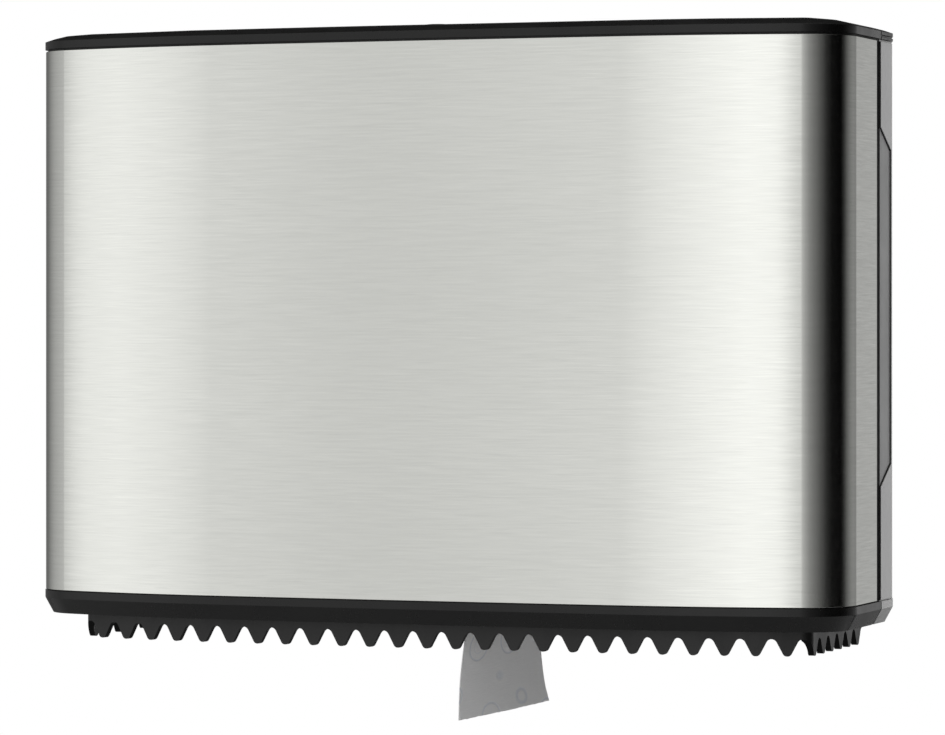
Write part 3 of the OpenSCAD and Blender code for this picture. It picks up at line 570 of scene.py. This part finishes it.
def make_panel():
    """The steel sheet, finer round its corners than the solid, with its edges eased."""
    half = outline_half()
    line = [(Vector((-p.x, p.y)), Vector((-n.x, n.y))) for p, n in reversed(half[1:])] + half
    ease = PANEL_EASE
    # Round the sheet's section: depth, height, and the normal outwards and upwards
    section = ((ease, PANEL_Z0, 0.7, -0.7), (0.0, PANEL_Z0 + ease, 1, 0),
               (0.0, PANEL_Z1 - ease, 1, 0), (ease, PANEL_Z1, 0.7, 0.7),
               (PANEL_T - ease, PANEL_Z1, -0.7, 0.7), (PANEL_T, PANEL_Z1 - ease, -1, 0),
               (PANEL_T, PANEL_Z0 + ease, -1, 0), (PANEL_T - ease, PANEL_Z0, -0.7, -0.7))
    rows, normals = [], []
    for p, n in line:
        rows.append([((p.x - n.x * d) * MM, (p.y - n.y * d) * MM, z * MM)
                     for d, z, _, _ in section])
        normals.append([Vector((n.x * out, n.y * out, up)).normalized()
                        for _, _, out, up in section])

    def rear_end(row):
        """The row's copy at the sheet's rear edge, drawn in by the easing."""
        inward = (-ease if row[1][0] > 0 else ease) * MM
        return [(x + (inward if k < len(row) // 2 else -inward), PANEL_END * MM,
                 z + (PANEL_NIP if z < 0 else -PANEL_NIP) * MM)
                for k, (x, y, z) in enumerate(row)]

    rows = [rear_end(rows[0])] + rows + [rear_end(rows[-1])]
    normals = normals[:1] + normals + normals[-1:]
    mesh = grid_mesh("steel_panel_sheet", rows, closed_u=True, ends="whole")
    for polygon in mesh.polygons:
        polygon.use_smooth = len(polygon.vertices) == 4
    mesh.normals_split_custom_set_from_vertices([n[:] for row in normals for n in row])
    dress(add_object("steel_panel_sheet", mesh), "steel_panel")


# ---------------------------------------------------------------- dark sheet in the seam, painted shade

# The dark sheet, painted shade in the seam, seen from the front: its outer and inner line from the
# right foot up and in towards the middle. It runs from the front edge of the rear shell towards
# the cover, and stays clear.
SHADE_SHEET_OUT = ((175.0, -118.6), (175.0, 111.9), (172.2, 113.25), (167.8, 114.45), (157.8, 115.5))
SHADE_SHEET_IN = ((173.7, -118.6), (173.7, 110.6), (165.0, 112.1), (160.5, 112.9), (156.0, 113.65))
SHADE_SHEET_BACK, SHADE_SHEET_FRONT, SHADE_SHEET_EASE = -62.2, -63.0, 0.15


def make_seam_shade_sheet():
    """A thin dark sheet on the rear shell's front edge, painted shade in the seam so that no light
    shows through.
    """
    def whole(points):
        return [(-x, z) for x, z in points] + list(reversed(points))

    eased_y = SHADE_SHEET_FRONT + SHADE_SHEET_EASE
    rows = []
    for (xo, zo), (xi, zi) in zip(whole(SHADE_SHEET_OUT), whole(SHADE_SHEET_IN)):
        length = math.hypot(xi - xo, zi - zo)
        dx, dz = (xi - xo) / length * SHADE_SHEET_EASE, (zi - zo) / length * SHADE_SHEET_EASE
        section = ((xo, SHADE_SHEET_BACK, zo), (xo, eased_y, zo), (xo + dx, SHADE_SHEET_FRONT, zo + dz),
                   (xi - dx, SHADE_SHEET_FRONT, zi - dz), (xi, eased_y, zi), (xi, SHADE_SHEET_BACK, zi))
        rows.append([(x * MM, y * MM, z * MM) for x, y, z in section])
    mesh = grid_mesh("seam_shade_sheet", rows, closed_u=True, ends="whole")
    mesh.materials.append(LOOKS["frame_plastic"])
    piece = add_object("seam_shade_sheet", mesh)
    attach(piece, "housing")


# ---------------------------------------------------------------- paper

RIDGED = (HOLE_R + 0.8, ROLL_R - 1.0)       # radii between which the ends are ridged
RIDGE_STEPS, TURN_STEPS = 34, 160
SOFT_R, END_IN, RIM_IN = 0.9, 0.36, 1.2     # rounding, and how far faces and rims lie in
SLACK, SLACK_DEEP = 0.22, 1.5               # how much the outer turns vary, and how deep down


def make_roll():
    """The wound paper: soft edges, and end faces that the turns leave slightly ridged."""
    low, high = RIDGED
    radii = [low + (high - low) * i / RIDGE_STEPS for i in range(RIDGE_STEPS + 1)]
    bends = [math.radians(18 * i) for i in range(1, 6)]

    def ridge(r, near, far, shift, fine):
        return (0.16 * math.sin(r * near) + 0.10 * math.sin(r * far + shift)
                + 0.07 * math.sin(r * fine))

    def rim(a):
        return ROLL_R - SOFT_R + SOFT_R * math.sin(a)

    profile = [(HOLE_R, PAPER_REAR - SOFT_R), (HOLE_R, PAPER_FRONT + SOFT_R)]
    profile += [(r, PAPER_FRONT + END_IN + ridge(r, 1.9, 0.61, 1.0, 4.3)) for r in radii]
    profile += [(rim(a), PAPER_FRONT + RIM_IN - SOFT_R * math.cos(a)) for a in bends]
    profile += [(rim(a), PAPER_REAR - RIM_IN + SOFT_R * math.cos(a)) for a in reversed(bends)]
    profile += [(r, PAPER_REAR - END_IN - ridge(r, 1.7, 0.57, 2.0, 3.9)) for r in reversed(radii)]
    rows = []
    for i in range(TURN_STEPS):
        a = 2 * math.pi * i / TURN_STEPS
        row = []
        for r, y in profile:
            if r > ROLL_R - SLACK_DEEP:
                r -= SLACK * (0.5 + 0.5 * math.sin(5 * a + 0.02 * y))
            row.append(((ROLL_X + r * math.cos(a)) * MM, y * MM, r * math.sin(a) * MM))
        rows.append(row)
    mesh = grid_mesh("paper_roll_wound", rows, closed_u=True, closed_v=True)
    smooth_faces(mesh)
    dress(add_object("paper_roll_wound", mesh), "paper_roll")


TAIL_TOP, TAIL_END, TAIL_THICK = 0.0, -165.4, 0.36
TAIL_ACROSS, TAIL_DOWN = 36, 64
# Sideways place of the tail's front and rear edges at some heights, from the roll down
TAIL_FRONT = ((0, 15.05), (-95, 15.05), (-118, 15.8), (-132, 15.5), (-141, 14.3), (-149, 13.4),
              (-157, 12.95), (-166, 12.7))
TAIL_REAR = ((0, 15.05), (-95, 15.05), (-120, 14.55), (-138, 14.4), (-145, 14.75), (-154, 15.8),
             (-160, 16.9), (-166, 18.6))
# Its belly: how deep, from where down and over how far it grows. Then the height of its shallow
# waves, and how much its torn end slants and frays.
BELLY, BELLY_FROM, BELLY_OVER = 0.6, 120.0, 40.0
WAVE, TORN_SLANT, TORN_FRAY = 0.10, 0.75, 0.28


def eased(t):
    t = max(0.0, min(1.0, t))
    return t * t * (3 - 2 * t)


def through(knots, at):
    """A smooth line through the knots, which run downwards; its first stretch is straight."""
    last = len(knots) - 1
    k = next((i for i in range(last) if at >= knots[i + 1][0]), last - 1)

    def slope(i):
        i = max(1, min(last - 1, i))
        return (knots[i + 1][1] - knots[i - 1][1]) / (knots[i + 1][0] - knots[i - 1][0])

    (z0, x0), (z1, x1) = knots[k], knots[k + 1]
    t = (at - z0) / (z1 - z0)
    m0, m1 = slope(k) * (z1 - z0), slope(k + 1) * (z1 - z0)
    if k == 0:
        m0 = m1 = 0.0
    return ((2 * t ** 3 - 3 * t * t + 1) * x0 + (t ** 3 - 2 * t * t + t) * m0
            + (3 * t * t - 2 * t ** 3) * x1 + (t ** 3 - t * t) * m1)


def tail_point(i, j):
    """A point of the tail's middle, at row i from the top and column j from the front."""
    z = TAIL_TOP + (TAIL_END - TAIL_TOP) * (i / TAIL_DOWN)
    s = j / TAIL_ACROSS
    y = PAPER_FRONT + (PAPER_REAR - PAPER_FRONT) * s
    front, rear = through(TAIL_FRONT, z), through(TAIL_REAR, z)
    x = front + (rear - front) * s
    x += BELLY * eased((-z - BELLY_FROM) / BELLY_OVER) * math.sin(math.pi * s)
    x += WAVE * noise.noise(Vector((y * 0.05, z * 0.04, 3.0))) * min(1.0, -z / 30.0)
    if i == TAIL_DOWN:
        z += -TORN_SLANT + TORN_SLANT * s + TORN_FRAY * noise.noise(Vector((y * 1.3, 1.7, 0.0)))
    return x, y, z


def make_tail():
    """The loose end: flat off the roll, then turned a little and torn across at the bottom."""
    middle = [[tail_point(i, j) for j in range(TAIL_ACROSS + 1)] for i in range(TAIL_DOWN + 1)]

    def side(offset):
        rows = []
        for i, row in enumerate(middle):
            above, below = middle[max(i - 1, 0)], middle[min(i + 1, TAIL_DOWN)]
            out = []
            for j, point in enumerate(row):
                along = Vector(row[min(j + 1, TAIL_ACROSS)]) - Vector(row[max(j - 1, 0)])
                normal = along.cross(Vector(below[j]) - Vector(above[j])).normalized()
                out.append(tuple((p + n * offset) * MM for p, n in zip(point, normal)))
            rows.append(out)
        return rows

    rows = [front + back[::-1] for front, back in zip(side(TAIL_THICK / 2), side(-TAIL_THICK / 2))]
    mesh = grid_mesh("paper_tail_sheet", rows, closed_u=True, ends="strips")
    smooth_faces(mesh)
    mesh.set_sharp_from_angle(angle=math.radians(50))
    piece = add_object("paper_tail_sheet", mesh)
    dress(piece, "paper_tail", LIT_TAIL_LOOK)
    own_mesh(piece)


make_panel()
make_seam_shade_sheet()
make_roll()
make_tail()


# ---------------------------------------------------------------- studio

FLOOR_R, FLOOR_AT = 0.85, (0.0, -0.07, -0.46)


def make_floor():
    """A pale floor below the object, white to the camera but for the object's shadow."""
    mesh = bpy.data.meshes.new("floor")
    bm = bmesh.new()
    bmesh.ops.create_circle(bm, cap_ends=True, radius=FLOOR_R, segments=96)
    bm.to_mesh(mesh)
    bm.free()
    floor = add_object("floor", mesh)
    floor.location = FLOOR_AT
    m = new_material("floor")
    p = m.place()
    tone = m.mix(m.noise(p, scale=240.0, detail=3.0), (0.72, 0.72, 0.72), (0.76, 0.76, 0.76))
    diffuse = m.add("BsdfDiffuse", {"Color": tone}).outputs["BSDF"]
    white = m.add("Emission", {"Color": (1.0, 1.0, 1.0), "Strength": 1.0}).outputs["Emission"]
    reach = m.add("VectorMath", {0: p}, operation="LENGTH").outputs["Value"]
    seen = m.math("MULTIPLY", m.add("LightPath").outputs["Is Camera Ray"],
                  m.spread(reach, 0.45 * FLOOR_R, 0.98 * FLOOR_R, 0.80, 1.0, smooth=True))
    clear = m.add("BsdfTransparent").outputs["BSDF"]
    below = m.add("NewGeometry").outputs["Backfacing"]
    floor.data.materials.append(m.finished(m.mixed(below, m.mixed(seen, diffuse, white), clear)))


# Azimuth of the light from the front of the object towards its right side, in degrees, and
# how bright the studio is there: first up to where the light from above begins, then the
# extra light in a low strip behind the object
ROUND_ABOUT = (
    (-180, 0.02), (-150, 0.02), (-140, 0.08), (-126, 0.20), (-105, 0.48), (-88, 0.65),
    (-67, 0.78), (-58, 0.84), (-55, 1.34), (-52, 1.50), (-45, 1.55), (-35, 1.40), (-28, 1.24),
    (-23, 1.03), (-18, 1.13), (-10, 1.38), (-2, 1.58), (6, 1.76), (11.3, 1.72), (14.3, 1.10),
    (18, 0.80), (23, 0.62), (31, 0.42), (41, 0.28), (55, 0.135), (68, 0.035), (80, 0.006),
    (100, 0.002), (115, 0.01), (135, 0.03), (180, 0.02),
)
LOW_STRIP = (
    (-180, 1.4), (-167, 1.4), (-158, 0.6), (-140, 0.30), (-124, 0.06), (-112, 0.0),
    (104, 0.0), (112, 0.05), (122, 0.21), (132, 0.34), (145, 0.44), (157, 0.42), (162, 0.56),
    (168, 0.96), (180, 1.4),
)
# How much of the white background behind the object metal and gloss show there
BACKDROP = ((-180, 1.0), (-170, 1.0), (-163, 0.0), (163, 0.0), (170, 1.0), (180, 1.0))
# Elevations, in degrees, between which the low strip comes in and goes out, and between which
# the light from above takes over
STRIP_IN, STRIP_OUT, ABOVE_FROM = (-18.0, -4.0), (4.0, 9.5), (41.0, 64.0)
ABOVE = 1.2                 # how bright the light from above is
GAIN = 2.0                  # a ramp's stops hold up to 1, so levels are divided by this


def make_world():
    """A studio by direction: wide soft boxes in front, a low one behind, dark flags to the right
    and left, and soft light from above; plain white behind the object."""
    world = bpy.data.worlds.new("studio")
    bpy.context.scene.world = world
    w = Nodes(world, "OutputWorld")
    x, y, z = w.parts(w.add("TexCoord").outputs["Generated"])
    azimuth = w.math("ARCTAN2", x, w.math("MULTIPLY", y, -1.0))
    along = w.math("ADD", w.math("DIVIDE", azimuth, 2 * math.pi), 0.5)

    def by_azimuth(table):
        ramp = w.add("ValToRGB", {"Fac": along})
        stops = ramp.color_ramp.elements
        for angle, level in table:
            if angle == -180:
                stop = stops[0]
            elif angle == 180:
                stop = stops[len(stops) - 1]
            else:
                stop = stops.new((angle + 180) / 360)
            value = level / GAIN
            stop.color = (value, value, value, 1.0)
        return w.math("MULTIPLY", ramp.outputs["Color"], GAIN)

    def rise(between):
        """0 below the first elevation and 1 above the second."""
        low, high = (math.sin(math.radians(a)) for a in between)
        return w.spread(z, low, high, 0.0, 1.0, smooth=True)

    strip = w.math("MULTIPLY", rise(STRIP_IN), w.math("SUBTRACT", 1.0, rise(STRIP_OUT)))
    low = w.math("ADD", by_azimuth(ROUND_ABOUT), w.math("MULTIPLY", by_azimuth(LOW_STRIP), strip))
    above = rise(ABOVE_FROM)
    level = w.math("ADD", w.math("MULTIPLY", low, w.math("SUBTRACT", 1.0, above)),
                   w.math("MULTIPLY", above, ABOVE))
    light = w.add("Background", {"Strength": level}).outputs["Background"]
    white = w.add("Background", {"Color": (1.0, 1.0, 1.0), "Strength": 1.0}
                  ).outputs["Background"]
    path = w.add("LightPath").outputs
    mirrored = w.math("MAXIMUM", path["Is Glossy Ray"], path["Is Transmission Ray"])
    mirrored = w.math("MULTIPLY", mirrored, w.math("MULTIPLY", by_azimuth(BACKDROP), strip))
    w.finished(w.mixed(w.math("MAXIMUM", path["Is Camera Ray"], mirrored), light, white))


make_floor()
make_world()
bpy.context.scene.view_settings.view_transform = "Standard"
